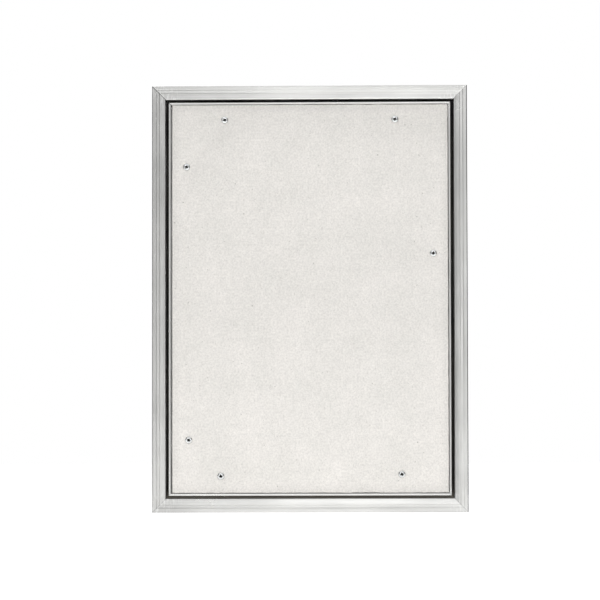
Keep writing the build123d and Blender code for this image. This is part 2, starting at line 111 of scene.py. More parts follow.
# Camera: far off and almost straight on, a little right of the middle and below it
cameraSetup = {
    "lens": 200.0,                 # mm on a 36 mm sensor
    "sensor": 36.0,
    "framePixels": 600,
    "panelPixels": 316.3,          # width of the frame in the photo
    "centrePixels": (309.7, 298.35),
    "roll": -0.12,                 # degrees
    "offAxis": (90 * mm, -175 * mm),   # how far the lens stands right of the panel's middle, and above it
}


def placeCamera(setup):
    cam = bpy.data.cameras.new("camera")
    cam.lens = setup["lens"]
    cam.sensor_width = setup["sensor"]
    viewWidth = (cadHigh.x - cadLow.x) * setup["framePixels"] / setup["panelPixels"]
    distance = viewWidth * setup["lens"] / setup["sensor"]
    half = setup["framePixels"] / 2
    cam.shift_x = (half - setup["centrePixels"][0]) / setup["framePixels"]
    cam.shift_y = (setup["centrePixels"][1] - half) / setup["framePixels"]
    cam.clip_end = 100
    camera = bpy.data.objects.new("camera", cam)
    bpy.context.collection.objects.link(camera)
    right, up = setup["offAxis"]
    camera.location = (right, -distance, up)
    aim = (-camera.location).to_track_quat("-Z", "Y").to_matrix().to_4x4()
    roll = Matrix.Rotation(math.radians(setup["roll"]), 4, "Z")
    camera.rotation_euler = (aim @ roll).to_euler()
    bpy.context.scene.camera = camera
    print("camera", round(distance, 3), "m off")


placeCamera(cameraSetup)
bpy.context.scene.view_settings.view_transform = "Standard"


# Studio: white surroundings, soft lamps for the matt surfaces, and grey cards that only gloss sees
studio = {
    "surroundings": "#FFFFFF",
    "fill": 0.42,                  # what the surroundings give to matt surfaces
    "floorPaint": "#F2F2F1",
    "floorLift": 0.62,             # plain white that the lens sees in the floor
    "floorReach": 60.0,
    "lamps": [
        {"name": "keyLamp", "at": (0.08, -1.3, -0.1), "size": (0.6, 0.2), "watts": 8.6, "inGloss": False},
        {"name": "topLamp", "at": (0.1, -1.2, 1.5), "size": (1.6, 0.8), "watts": 2.5, "inGloss": False},
        {"name": "backLamp", "at": (-0.6, 1.5, 0.9), "size": (1.4, 0.8), "watts": 14.0, "inGloss": True},
    ],
    "cards": [
        {"name": "cardLeft", "at": (-1.29, -0.55, 0.0), "size": (2.6, 1.8), "grey": "#383736", "glow": 1.0},
        {"name": "cardRight", "at": (1.29, -0.55, 0.0), "size": (2.6, 1.8), "grey": "#262524", "glow": 1.0},
        {"name": "cardAbove", "at": (0.0, -0.75, 1.1), "size": (1.8, 0.7), "grey": "#FFFFFF", "glow": 1.35},
    ],
}


def seenDirectly(tree):   # 1 for rays of the lens, of gloss and through glass, and 0 for soft light
    path = addNode(tree, "LightPath", {})
    pair = addNode(
        tree, "Math", {0: path.outputs["Is Camera Ray"], 1: path.outputs["Is Glossy Ray"]}, operation="ADD",
    )
    return addNode(
        tree, "Math", {0: pair.outputs[0], 1: path.outputs["Is Transmission Ray"]},
        operation="ADD", use_clamp=True,
    )


def facing(place):   # turns +Z of a lamp or card towards the panel
    return (Vector(place)).to_track_quat("Z", "Y").to_euler()


def buildStudio(setup):
    world = bpy.data.worlds.new("surroundings")
    bpy.context.scene.world = world
    world.use_nodes = True
    tree = world.node_tree
    seen = seenDirectly(tree)
    strength = addNode(tree, "MapRange", {"Value": seen.outputs[0], "To Min": setup["fill"], "To Max": 1.0})
    background = tree.nodes["Background"]
    background.inputs["Color"].default_value = fromHex(setup["surroundings"])
    tree.links.new(strength.outputs[0], background.inputs["Strength"])

    paint = newMaterial("whiteFloorPaint", {"Base Color": fromHex(setup["floorPaint"]), "Roughness": 0.9})
    tree = paint.node_tree
    shader = tree.nodes["Principled BSDF"]
    seen = seenDirectly(tree)
    lift = addNode(tree, "Math", {0: seen.outputs[0], 1: setup["floorLift"]}, operation="MULTIPLY")
    glow = addNode(tree, "Emission", {"Color": fromHex(setup["surroundings"]), "Strength": lift.outputs[0]})
    both = addNode(tree, "AddShader", {0: shader.outputs[0], 1: glow.outputs[0]})
    tree.links.new(both.outputs[0], tree.nodes["Material Output"].inputs["Surface"])
    reach = setup["floorReach"]
    floorMesh = bpy.data.meshes.new("floor")
    corners = [(-reach, -reach), (reach, -reach), (reach, reach), (-reach, reach)]
    floorMesh.from_pydata([(x, y, cadLow.z) for x, y in corners], [], [(0, 1, 2, 3)])
    floorMesh.materials.append(paint)
    floor = bpy.data.objects.new("floor", floorMesh)
    bpy.context.collection.objects.link(floor)

    for lamp in setup["lamps"]:
        light = bpy.data.lights.new(lamp["name"], "AREA")
        light.shape = "RECTANGLE"
        light.size, light.size_y = lamp["size"]
        light.energy = lamp["watts"]
        holder = bpy.data.objects.new(lamp["name"], light)
        bpy.context.collection.objects.link(holder)
        holder.location = lamp["at"]
        holder.rotation_euler = facing(lamp["at"])
        holder.visible_camera = False
        holder.visible_glossy = lamp["inGloss"]

    for card in setup["cards"]:
        wide, tall = (side / 2 for side in card["size"])
        corners = [(-wide, -tall, 0), (wide, -tall, 0), (wide, tall, 0), (-wide, tall, 0)]
        cardMesh = bpy.data.meshes.new(card["name"])
        cardMesh.from_pydata(corners, [], [(0, 1, 2, 3)])
        paper = bpy.data.materials.new(card["name"] + "Paper")
        paper.use_nodes = True
        tree = paper.node_tree
        shade = addNode(tree, "Emission", {"Color": fromHex(card["grey"]), "Strength": card["glow"]})
        tree.links.new(shade.outputs[0], tree.nodes["Material Output"].inputs["Surface"])
        cardMesh.materials.append(paper)
        holder = bpy.data.objects.new(card["name"], cardMesh)
        bpy.context.collection.objects.link(holder)
        holder.location = card["at"]
        holder.rotation_euler = facing(card["at"])
        holder.visible_camera = False
        holder.visible_diffuse = False
        holder.visible_shadow = False
        holder.visible_transmission = False
    print("studio", len(setup["lamps"]), "lamps", len(setup["cards"]), "cards")


buildStudio(studio)


# Extruded aluminium, mill finish: bright grey metal with fine die lines along its length and duller streaks
extrusionLook = {
    "bright": "#F5F5F3",
    "dull": "#DBDBD9",
    "seamAndArrisShade": "#505254",
    "scuffPale": "#F2F2F1",
    "dieLine": 1.6,        # mm; real die lines are finer, drawn as coarse as they need to show
    "streak": 6.0,         # mm
    "run": 240.0,          # mm that a line runs before it fades
    "smudge": 45.0,        # mm across a handling mark
    "seam": 0.7,           # mm across the dark line of a mitre
    "scuffReach": 26.0,    # mm from a mitre that scuffs lie
    "relief": 0.02,        # mm
    # Painted shade at places across the panel, in mm: darker on the hinge side, along the latch's edge of the opening
    # and on the rounded edges of the uprights
    "paintedShadeAcross": [(-170, 0.77), (-150, 0.77), (-25, 1.0), (20, 1.0), (150, 0.95), (170, 0.95)],
    "paintedShadeUpright": [
        (-170, 0.76), (-165, 0.86), (-158, 0.86), (-155, 0.78), (155, 0.62), (157.5, 0.66), (161.5, 0.96), (170, 0.98),
    ],
    "paintedShadeUpwards": {True: (-225.0, 225.0, 0.93), False: (-215.0, -60.0, 0.9)},   # painted shade: brightest below, and the tone above
    "innerEdgeShade": (0.9, 0.85),          # mm from the opening that painted shade reaches, and its tone
    "outerEdgeShade": (0.85, 0.84),         # mm from the outside where the rounded corner has a painted dark reflection, and its tone
    "shadedArris": (169.15, 0.95),           # mm: the painted dark reflection on the outermost corner begins here in X, and ends here in Y
}
doorLook = {   # painted shade on the door's thin lip: milder than on the frame, and darker on its uprights
    "paintedShadeAcross": [(-170, 0.95), (170, 0.95)],
    "paintedShadeUpright": [(-170, 0.86), (170, 0.82)],
    "paintedShadeUpwards": {True: (-225.0, 225.0, 0.97), False: (-215.0, -60.0, 0.97)},
    "innerEdgeShade": (0.9, 1.0),
    "outerEdgeShade": (0.85, 1.0),
    "shadedArris": (180.0, 0.0),
}
mitreOffset = cadHigh.x - cadHigh.z   # on every mitre |x| - |z| has this value
opening = (155.0, 215.0)              # half the width and height of the frame's opening, in mm


def millAluminium(name, alongX, look):
    metal = newMaterial(name, {"Metallic": 1.0, "Anisotropic": 0.6, "Anisotropic Rotation": 0.25})
    tree = metal.node_tree
    place = addNode(tree, "TexCoord", {}).outputs["Object"]
    run = look["run"]
    fineSize = (run, look["dieLine"], look["dieLine"]) if alongX else (look["dieLine"], look["dieLine"], run)
    broadSize = (2 * run, look["streak"], look["streak"]) if alongX else (look["streak"], look["streak"], 2 * run)
    cloudSize = (70, 18, 14) if alongX else (14, 18, 70)
    fine = addNode(tree, "Mapping", {"Vector": place, "Scale": perMm(*fineSize)})
    broad = addNode(tree, "Mapping", {"Vector": place, "Scale": perMm(*broadSize)})
    cloud = addNode(tree, "Mapping", {"Vector": place, "Scale": perMm(*cloudSize)})
    fineLines = addNode(tree, "TexNoise", {"Vector": fine.outputs[0], "Scale": 1.0, "Detail": 3.0})
    broadLines = addNode(tree, "TexNoise", {"Vector": broad.outputs[0], "Scale": 1.0, "Detail": 2.0})
    clouds = addNode(tree, "TexNoise", {"Vector": cloud.outputs[0], "Scale": 1.0, "Detail": 3.0})
    smudges = addNode(tree, "TexNoise", {"Vector": place, "Scale": 1 / (look["smudge"] * mm), "Detail": 4.0})
    lines = addNode(tree, "Math", {0: fineLines.outputs[0], 1: broadLines.outputs[0]}, operation="ADD")
    tone = addNode(tree, "MapRange", {"Value": lines.outputs[0], "From Min": 0.75, "From Max": 1.3})
    base = addNode(
        tree, "Mix", {0: tone.outputs[0], 6: fromHex(look["bright"]), 7: fromHex(look["dull"])}, data_type="RGBA",
    )

    # Soft clouds, partly the metal's own tone and partly painted reflection, and painted shade, most of all on the
    # hinge side
    split = addNode(tree, "SeparateXYZ", {"Vector": place})
    spread = addNode(
        tree, "MapRange", {"Value": split.outputs["X"], "From Min": cadLow.x, "From Max": cadHigh.x},
    )
    # Painted shade across the panel, set by the stops above
    sides = addNode(tree, "ValToRGB", {"Fac": spread.outputs[0]})
    stops = look["paintedShadeAcross" if alongX else "paintedShadeUpright"]
    while len(sides.color_ramp.elements) < len(stops):
        sides.color_ramp.elements.new(0.5)
    for element, (spot, level) in zip(sides.color_ramp.elements, stops):
        element.position = (spot * mm - cadLow.x) / (cadHigh.x - cadLow.x)
        element.color = (level, level, level, 1.0)
    # Soft clouds of tone: partly the metal's own, partly painted reflection bands
    shade = addNode(
        tree, "MapRange",
        {"Value": clouds.outputs[0], "From Min": 0.3, "From Max": 0.7, "To Min": 0.92, "To Max": 1.06},
    )
    # Painted shade, darker upwards, where the light falls off from the bottom
    start, end, level = look["paintedShadeUpwards"][alongX]
    paintedShadeUpwards = addNode(
        tree, "MapRange",
        {"Value": split.outputs["Z"], "From Min": start * mm, "From Max": end * mm, "To Min": 1.0, "To Max": level},
    )
    across = addNode(tree, "Math", {0: split.outputs["X"]}, operation="ABSOLUTE")
    up = addNode(tree, "Math", {0: split.outputs["Z"]}, operation="ABSOLUTE")
    fromSide = addNode(tree, "Math", {0: across.outputs[0], 1: opening[0] * mm}, operation="SUBTRACT")
    fromEnd = addNode(tree, "Math", {0: up.outputs[0], 1: opening[1] * mm}, operation="SUBTRACT")
    fromOpening = addNode(tree, "Math", {0: fromSide.outputs[0], 1: fromEnd.outputs[0]}, operation="MAXIMUM")
    # Painted shade along the edges of the opening, and a painted dark reflection on the outer corner
    reach, level = look["innerEdgeShade"]
    inner = addNode(
        tree, "MapRange", {"Value": fromOpening.outputs[0], "From Max": reach * mm, "To Min": level, "To Max": 1.0},
    )
    reach, level = look["outerEdgeShade"]
    edgeAt = cadHigh.x - opening[0] * mm - reach * mm
    outer = addNode(
        tree, "MapRange",
        {"Value": fromOpening.outputs[0], "From Min": edgeAt, "From Max": edgeAt + 0.05 * mm,
         "To Min": 1.0, "To Max": level},
    )
    toneAndPaintedShade = shade
    for factor in (sides, paintedShadeUpwards, inner, outer):
        toneAndPaintedShade = addNode(tree, "Math", {0: toneAndPaintedShade.outputs[0], 1: factor.outputs[0]}, operation="MULTIPLY")
    shadedMetal = addNode(
        tree, "Mix", {0: 1.0, 6: base.outputs[2], 7: toneAndPaintedShade.outputs[0]}, data_type="RGBA", blend_type="MULTIPLY",
    )

    # Distance from the mitre plane, for its dark line and the scuffs beside it
    slant = addNode(tree, "Math", {0: across.outputs[0], 1: up.outputs[0]}, operation="SUBTRACT")
    off = addNode(tree, "Math", {0: slant.outputs[0], 1: mitreOffset}, operation="SUBTRACT")
    gap = addNode(tree, "Math", {0: off.outputs[0]}, operation="ABSOLUTE")
    corner = addNode(tree, "Math", {0: split.outputs["Z"], 1: split.outputs["X"]}, operation="SUBTRACT")
    openSeam = addNode(   # the joint at the top on the hinge side is the open one
        tree, "MapRange", {"Value": corner.outputs[0], "From Min": 0.3, "From Max": 0.36, "To Min": 0.3, "To Max": 0.95},
    )
    seam = addNode(
        tree, "MapRange",
        {"Value": gap.outputs[0], "From Min": 0.3 * look["seam"] * mm, "From Max": look["seam"] * mm,
         "To Min": openSeam.outputs[0], "To Max": 0.0},
    )
    # Painted dark reflection on the outermost rounded corner, in the seam's dark colour
    arrisFrom, arrisTo = look["shadedArris"]
    outermost = addNode(
        tree, "Math", {0: split.outputs["X"], 1: arrisFrom * mm}, operation="GREATER_THAN",
    )
    inFront = addNode(tree, "Math", {0: split.outputs["Y"], 1: arrisTo * mm}, operation="LESS_THAN")
    shadedArris = addNode(tree, "Math", {0: outermost.outputs[0], 1: inFront.outputs[0]}, operation="MULTIPLY")
    seamAndShadedArris = addNode(tree, "Math", {0: shadedArris.outputs[0], 1: seam.outputs[0]}, operation="MAXIMUM")
    turned = addNode(
        tree, "Mapping", {"Vector": place, "Rotation": (0, math.radians(38), 0), "Scale": perMm(1.6, 8, 7)},
    )
    scratches = addNode(tree, "TexNoise", {"Vector": turned.outputs[0], "Scale": 1.0, "Detail": 4.0})
    thin = addNode(tree, "MapRange", {"Value": scratches.outputs[0], "From Min": 0.48, "From Max": 0.66})
    close = addNode(
        tree, "MapRange",
        {"Value": gap.outputs[0], "From Min": 0.0, "From Max": look["scuffReach"] * mm, "To Min": 0.8, "To Max": 0.0},
    )
    scuffs = addNode(tree, "Math", {0: thin.outputs[0], 1: close.outputs[0]}, operation="MULTIPLY")
    scuffed = addNode(
        tree, "Mix", {0: scuffs.outputs[0], 6: shadedMetal.outputs[2], 7: fromHex(look["scuffPale"])}, data_type="RGBA",
    )
    joined = addNode(
        tree, "Mix", {0: seamAndShadedArris.outputs[0], 6: scuffed.outputs[2], 7: fromHex(look["seamAndArrisShade"])}, data_type="RGBA",
    )
    rough = addNode(
        tree, "MapRange",
        {"Value": smudges.outputs[0], "From Min": 0.3, "From Max": 0.7, "To Min": 0.26, "To Max": 0.42},
    )
    relief = addNode(
        tree, "Bump", {"Height": fineLines.outputs[0], "Strength": 0.7, "Distance": look["relief"] * mm},
    )
    grain = addNode(tree, "CombineXYZ", {"X": 1.0 if alongX else 0.0, "Z": 0.0 if alongX else 1.0})
    turnedGrain = addNode(
        tree, "VectorTransform", {"Vector": grain.outputs[0]},
        vector_type="VECTOR", convert_from="OBJECT", convert_to="WORLD",
    )
    return plug(metal, {
        "Base Color": joined.outputs[2],
        "Roughness": rough.outputs[0],
        "Normal": relief.outputs[0],
        "Tangent": turnedGrain.outputs[0],
    })


# Gypsum fibreboard, pressed and sanded: chalky pale grey with paper fibres, specks and faint blotches
fibreboardLook = {
    "gypsum": "#EFEDE8",
    "blotch": "#F2EEEA",
    "damp": "#C4C1BB",
    "fleck": "#8F8B84",
    "grain": 2.1,          # mm; real grains are half of this, drawn coarser to show
    "patch": 7.0,          # mm
    "blotchSize": 40.0,    # mm
    "fibre": 3.5,          # mm long
    "fleckSize": 3.0,      # mm between flecks in a cluster
    "edgeDarkening": 12.0,       # mm in from an edge that the board is darker
    "paintedFalloff": (-195.0, -15.0, 0.893),   # painted light falloff: mm up from the brightest bottom to the middle, and the tone above it
    "darkerTop": (160.0, 212.0, 0.94),    # mm up where the board begins to darken and is darkest, and its tone there
    "relief": 0.06,        # mm
}


def gypsumFibreboard(name, look):
    board = newMaterial(name, {"Roughness": 0.92, "Specular IOR Level": 0.25})
    tree = board.node_tree
    place = addNode(tree, "TexCoord", {}).outputs["Object"]
    split = addNode(tree, "SeparateXYZ", {"Vector": place})
    grain = addNode(
        tree, "TexNoise", {"Vector": place, "Scale": 1 / (look["grain"] * mm), "Detail": 3.0, "Roughness": 0.65},
    )
    patches = addNode(tree, "TexNoise", {"Vector": place, "Scale": 1 / (look["patch"] * mm), "Detail": 2.0})
    clouds = addNode(tree, "TexNoise", {"Vector": place, "Scale": 1 / (look["blotchSize"] * mm), "Detail": 3.0})
    warm = addNode(
        tree, "Mix", {0: clouds.outputs[0], 6: fromHex(look["gypsum"]), 7: fromHex(look["blotch"])}, data_type="RGBA",
    )
    mottle = addNode(
        tree, "MapRange", {"Value": grain.outputs[0], "From Min": 0.3, "From Max": 0.7, "To Min": 0.86, "To Max": 1.1},
    )
    mild = addNode(
        tree, "MapRange", {"Value": patches.outputs[0], "From Min": 0.3, "From Max": 0.7, "To Min": 0.97, "To Max": 1.03},
    )
    wide = addNode(
        tree, "MapRange", {"Value": clouds.outputs[0], "From Min": 0.3, "From Max": 0.7, "To Min": 0.97, "To Max": 1.03},
    )

    # Darker near the edges and towards the top, and painted light falloff darker upwards
    low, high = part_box("tile_board")
    across = addNode(tree, "Math", {0: split.outputs["X"]}, operation="ABSOLUTE")
    up = addNode(tree, "Math", {0: split.outputs["Z"]}, operation="ABSOLUTE")
    sideGap = addNode(tree, "Math", {0: high.x, 1: across.outputs[0]}, operation="SUBTRACT")
    endGap = addNode(tree, "Math", {0: high.z, 1: up.outputs[0]}, operation="SUBTRACT")
    rim = addNode(tree, "Math", {0: sideGap.outputs[0], 1: endGap.outputs[0]}, operation="MINIMUM")
    darkerNearEdge = addNode(
        tree, "MapRange", {"Value": rim.outputs[0], "From Max": look["edgeDarkening"] * mm, "To Min": 0.92, "To Max": 1.0},
        interpolation_type="SMOOTHSTEP",
    )
    tones = mottle
    # Painted light falloff, darker upwards from the bottom, and the board darker towards the top
    for start, end, tone in (look["paintedFalloff"], look["darkerTop"]):
        level = addNode(
            tree, "MapRange",
            {"Value": split.outputs["Z"], "From Min": start * mm, "From Max": end * mm, "To Min": 1.0, "To Max": tone},
        )
        tones = addNode(tree, "Math", {0: tones.outputs[0], 1: level.outputs[0]}, operation="MULTIPLY")
    for factor in (mild, wide, darkerNearEdge):
        tones = addNode(tree, "Math", {0: tones.outputs[0], 1: factor.outputs[0]}, operation="MULTIPLY")
    toned = addNode(
        tree, "Mix", {0: 1.0, 6: warm.outputs[2], 7: tones.outputs[0]}, data_type="RGBA", blend_type="MULTIPLY",
    )
    bent = addNode(tree, "Mapping", {"Vector": place, "Scale": perMm(1.1, 3, look["fibre"])})
    fibres = addNode(tree, "TexNoise", {"Vector": bent.outputs[0], "Scale": 1.0, "Detail": 1.0, "Distortion": 1.5})
    hair = addNode(
        tree, "MapRange", {"Value": fibres.outputs[0], "From Min": 0.62, "From Max": 0.75, "To Max": 0.5},
    )
    haired = addNode(
        tree, "Mix", {0: hair.outputs[0], 6: toned.outputs[2], 7: fromHex(look["damp"])}, data_type="RGBA",
    )
    flecks = addNode(tree, "TexNoise", {"Vector": place, "Scale": 1 / (look["fleckSize"] * mm), "Detail": 1.0})
    speck = addNode(
        tree, "MapRange", {"Value": flecks.outputs[0], "From Min": 0.7, "From Max": 0.82, "To Max": 0.6},
    )
    flecked = addNode(
        tree, "Mix", {0: speck.outputs[0], 6: haired.outputs[2], 7: fromHex(look["fleck"])}, data_type="RGBA",
    )
    relief = addNode(tree, "Bump", {"Height": grain.outputs[0], "Strength": 0.8, "Distance": look["relief"] * mm})
    return plug(board, {"Base Color": flecked.outputs[2], "Normal": relief.outputs[0]})


# Extruded EPDM rubber: near black, with a dull grey bloom that runs along the strip
rubberLook = {
    "black": "#1A1A1B", "bloom": "#403E3B", "bloomSize": 45.0, "pore": 0.6, "relief": 0.03,
    "dustAndPaintedLight": "#7A766E",
    "dustedAndPaintedLight": (-205.0, -212.0),   # mm up: painted light on the lowest strip, which faces up
}


def extrudedEpdm(name, look):
    rubber = newMaterial(name, {"Specular IOR Level": 0.35})
    tree = rubber.node_tree
    place = addNode(tree, "TexCoord", {}).outputs["Object"]
    bloom = addNode(tree, "TexNoise", {"Vector": place, "Scale": 1 / (look["bloomSize"] * mm), "Detail": 5.0})
    pores = addNode(tree, "TexNoise", {"Vector": place, "Scale": 1 / (look["pore"] * mm), "Detail": 2.0})
    share = addNode(tree, "MapRange", {"Value": bloom.outputs[0], "From Min": 0.4, "From Max": 0.75})
    colour = addNode(
        tree, "Mix", {0: share.outputs[0], 6: fromHex(look["black"]), 7: fromHex(look["bloom"])}, data_type="RGBA",
    )
    split = addNode(tree, "SeparateXYZ", {"Vector": place})
    # Painted light: the lowest strip is painted paler, as if lit from above
    start, end = look["dustedAndPaintedLight"]
    low = addNode(
        tree, "MapRange",
        {"Value": split.outputs["Z"], "From Min": start * mm, "From Max": end * mm, "To Max": 0.9},
    )
    paintedLitStrip = addNode(
        tree, "Mix", {0: low.outputs[0], 6: colour.outputs[2], 7: fromHex(look["dustAndPaintedLight"])}, data_type="RGBA",
    )
    rough = addNode(tree, "MapRange", {"Value": bloom.outputs[0], "To Min": 0.5, "To Max": 0.85})
    relief = addNode(tree, "Bump", {"Height": pores.outputs[0], "Strength": 0.5, "Distance": look["relief"] * mm})
    return plug(rubber, {
        "Base Color": paintedLitStrip.outputs[2], "Roughness": rough.outputs[0], "Normal": relief.outputs[0],
    })


# Hot-dip galvanised steel: grey zinc with pale and dark crystals, smooth to the touch
galvanisedLook = {"pale": "#C4C8CA", "dark": "#94999C", "dustAndPaintedLight": "#D6D8D8", "spangle": 5.0, "relief": 0.01}


def galvanisedSteel(name, look):
    zinc = newMaterial(name, {"Metallic": 1.0})
    tree = zinc.node_tree
    place = addNode(tree, "TexCoord", {}).outputs["Object"]
    wobble = addNode(tree, "TexNoise", {"Vector": place, "Scale": 1 / (0.5 * look["spangle"] * mm), "Detail": 2.0})
    bent = addNode(
        tree, "Mix",
        {0: 0.0012, 4: place, 5: wobble.outputs["Color"]}, data_type="VECTOR",
    )
    crystals = addNode(tree, "TexVoronoi", {"Vector": bent.outputs[1], "Scale": 1 / (look["spangle"] * mm)})
    grey = addNode(tree, "SeparateColor", {"Color": crystals.outputs["Color"]})
    colour = addNode(
        tree, "Mix", {0: grey.outputs["Red"], 6: fromHex(look["pale"]), 7: fromHex(look["dark"])}, data_type="RGBA",
    )
    bloom = addNode(tree, "TexNoise", {"Vector": place, "Scale": 1 / (12 * mm), "Detail": 6.0})
    white = addNode(tree, "MapRange", {"Value": bloom.outputs[0], "From Min": 0.52, "From Max": 0.8, "To Max": 0.5})
    dustedAndPaintedLight = addNode(
        tree, "Mix", {0: white.outputs[0], 6: colour.outputs[2], 7: fromHex(look["dustAndPaintedLight"])}, data_type="RGBA",
    )
    rough = addNode(tree, "MapRange", {"Value": grey.outputs["Green"], "To Min": 0.28, "To Max": 0.5})
    relief = addNode(tree, "Bump", {"Height": grey.outputs["Blue"], "Strength": 0.3, "Distance": look["relief"] * mm})
    return plug(zinc, {
        "Base Color": dustedAndPaintedLight.outputs[2], "Roughness": rough.outputs[0], "Normal": relief.outputs[0],
    })


# Small parts: two tones in patches, a grain with its own relief, and a range of gloss
smallPartLooks = {
    # Die-cast zinc: dull blue-grey, clouded by the flow of the melt
    "dieCastZinc": {
        "tones": ("#9EA2A5", "#7F8386"), "patch": 4.0, "grain": 0.8, "relief": 0.03,
        "roughness": (0.38, 0.6), "uniform": {"Metallic": 1.0},
    },
    # Drawn aluminium wire, headed: soft silver with drag marks
    "drawnAluminium": {
        "tones": ("#D4D6D7", "#B3B6B8"), "patch": 2.5, "grain": 0.5, "relief": 0.02,
        "roughness": (0.25, 0.45), "uniform": {"Metallic": 1.0},
    },
    # Zinc-plated steel: bright with a cool tint, duller in patches
    "zincPlatedSteel": {
        "tones": ("#EDEEEE", "#CDD0D1"), "patch": 1.8, "grain": 0.5, "relief": 0.015,
        "roughness": (0.12, 0.26), "uniform": {"Metallic": 1.0},
    },
    # Zinc-plated steel deep in a screw's recess: painted shade, dark where the recess lies in shadow
    "paintedRecessShade": {
        "tones": ("#2B2A29", "#1D1C1B"), "patch": 0.8, "grain": 0.3, "relief": 0.02,
        "roughness": (0.6, 0.8), "uniform": {"Metallic": 0.4},
    },
    # Turned steel, lightly oiled: darker grey with a sharp sheen
    "turnedSteel": {
        "tones": ("#A6A7A8", "#85878A"), "patch": 3.0, "grain": 0.4, "relief": 0.01,
        "roughness": (0.2, 0.36), "uniform": {"Metallic": 1.0},
    },
    # Moulded acetal: milky white and slippery, a little light passes into it
    "mouldedAcetal": {
        "tones": ("#E9E6DE", "#DEDAD0"), "patch": 6.0, "grain": 0.7, "relief": 0.008,
        "roughness": (0.28, 0.42), "uniform": {"IOR": 1.48, "Subsurface Weight": 0.12, "Subsurface Scale": 1.5 * mm},
    },
    # Spark-textured ABS: mid grey, evenly matt
    "sparkTexturedAbs": {
        "tones": ("#8C8F91", "#83868A"), "patch": 8.0, "grain": 0.45, "relief": 0.05,
        "roughness": (0.48, 0.6), "uniform": {"IOR": 1.53},
    },
    # Nickel plating: warm silver, nearly a mirror
    "nickelPlating": {
        "tones": ("#CFCBC3", "#B9B4AB"), "patch": 3.0, "grain": 0.6, "relief": 0.006,
        "roughness": (0.12, 0.24), "uniform": {"Metallic": 1.0},
    },
    # Drawn spring wire: dark oily grey
    "drawnSpringWire": {
        "tones": ("#7C7D80", "#606266"), "patch": 2.0, "grain": 0.3, "relief": 0.008,
        "roughness": (0.25, 0.4), "uniform": {"Metallic": 1.0},
    },
}


def smallPartFinish(name, look):
    finish = newMaterial(name, look["uniform"])
    tree = finish.node_tree
    place = addNode(tree, "TexCoord", {}).outputs["Object"]
    patches = addNode(tree, "TexNoise", {"Vector": place, "Scale": 1 / (look["patch"] * mm), "Detail": 5.0})
    grain = addNode(tree, "TexNoise", {"Vector": place, "Scale": 1 / (look["grain"] * mm), "Detail": 3.0})
    share = addNode(tree, "MapRange", {"Value": patches.outputs[0], "From Min": 0.3, "From Max": 0.7})
    first, second = (fromHex(tone) for tone in look["tones"])
    colour = addNode(tree, "Mix", {0: share.outputs[0], 6: first, 7: second}, data_type="RGBA")
    smooth, dull = look["roughness"]
    rough = addNode(
        tree, "MapRange",
        {"Value": grain.outputs[0], "From Min": 0.3, "From Max": 0.7, "To Min": smooth, "To Max": dull},
    )
    relief = addNode(tree, "Bump", {"Height": grain.outputs[0], "Strength": 0.6, "Distance": look["relief"] * mm})
    return plug(finish, {
        "Base Color": colour.outputs[2], "Roughness": rough.outputs[0], "Normal": relief.outputs[0],
    })


acrossMill = millAluminium("millAluminiumAcross", True, extrusionLook)
uprightMill = millAluminium("millAluminiumUpright", False, extrusionLook)
doorExtrusionLook = {**extrusionLook, **doorLook}
doorAcross = millAluminium("doorMillAluminiumAcross", True, doorExtrusionLook)
doorUpright = millAluminium("doorMillAluminiumUpright", False, doorExtrusionLook)
fibreboard = gypsumFibreboard("sandedGypsumFibreboard", fibreboardLook)
epdm = extrudedEpdm("extrudedEpdm", rubberLook)
galvanised = galvanisedSteel("hotDipGalvanisedSteel", galvanisedLook)
small = {name: smallPartFinish(name, look) for name, look in smallPartLooks.items()}
print("materials", len(bpy.data.materials))


# The finish of every CAD node, by the start of its name
nodeFinish = {
    "seal_": epdm,
    "corner_key_screws": small["zincPlatedSteel"],
    "corner_key_": small["dieCastZinc"],
    "control_lever_": galvanised,
    "main_lever_": galvanised,
    "hinge_frame_bracket_": galvanised,
    "hinge_door_bracket_": galvanised,
    "latch_bracket_rivets": small["drawnAluminium"],
    "latch_bracket": galvanised,
    "door_corner_plate_": galvanised,
    "strike_plate": galvanised,
    "strike_rivet": small["drawnAluminium"],
    "door_corner_rivets": small["drawnAluminium"],
    "hinge_base_rivets": small["drawnAluminium"],
    "hinge_web_rivets": small["drawnAluminium"],
    "hinge_door_pins_": small["turnedSteel"],
    "hinge_frame_pins_": small["turnedSteel"],
    "hinge_spacers_": small["mouldedAcetal"],
    "latch_plunger": small["mouldedAcetal"],
    "latch_housing_screws": small["zincPlatedSteel"],
    "latch_housing": small["sparkTexturedAbs"],
    "latch_end_cap": small["sparkTexturedAbs"],
    "latch_magnet": small["nickelPlating"],
    "latch_spring": small["drawnSpringWire"],
    "latch_cam_pin": small["turnedSteel"],
    "board_screws": small["zincPlatedSteel"],
    "tile_board": fibreboard,
}


def finishOf(name):
    if name.startswith("frame_"):
        return acrossMill if name.endswith(("top", "bottom")) else uprightMill
    if name.startswith("door_profile_"):
        return doorAcross if name.endswith(("top", "bottom")) else doorUpright
    return next(coat for start, coat in nodeFinish.items() if name.startswith(start))


for name, node in nodes.items():
    node.data.materials.clear()
    node.data.materials.append(finishOf(name))


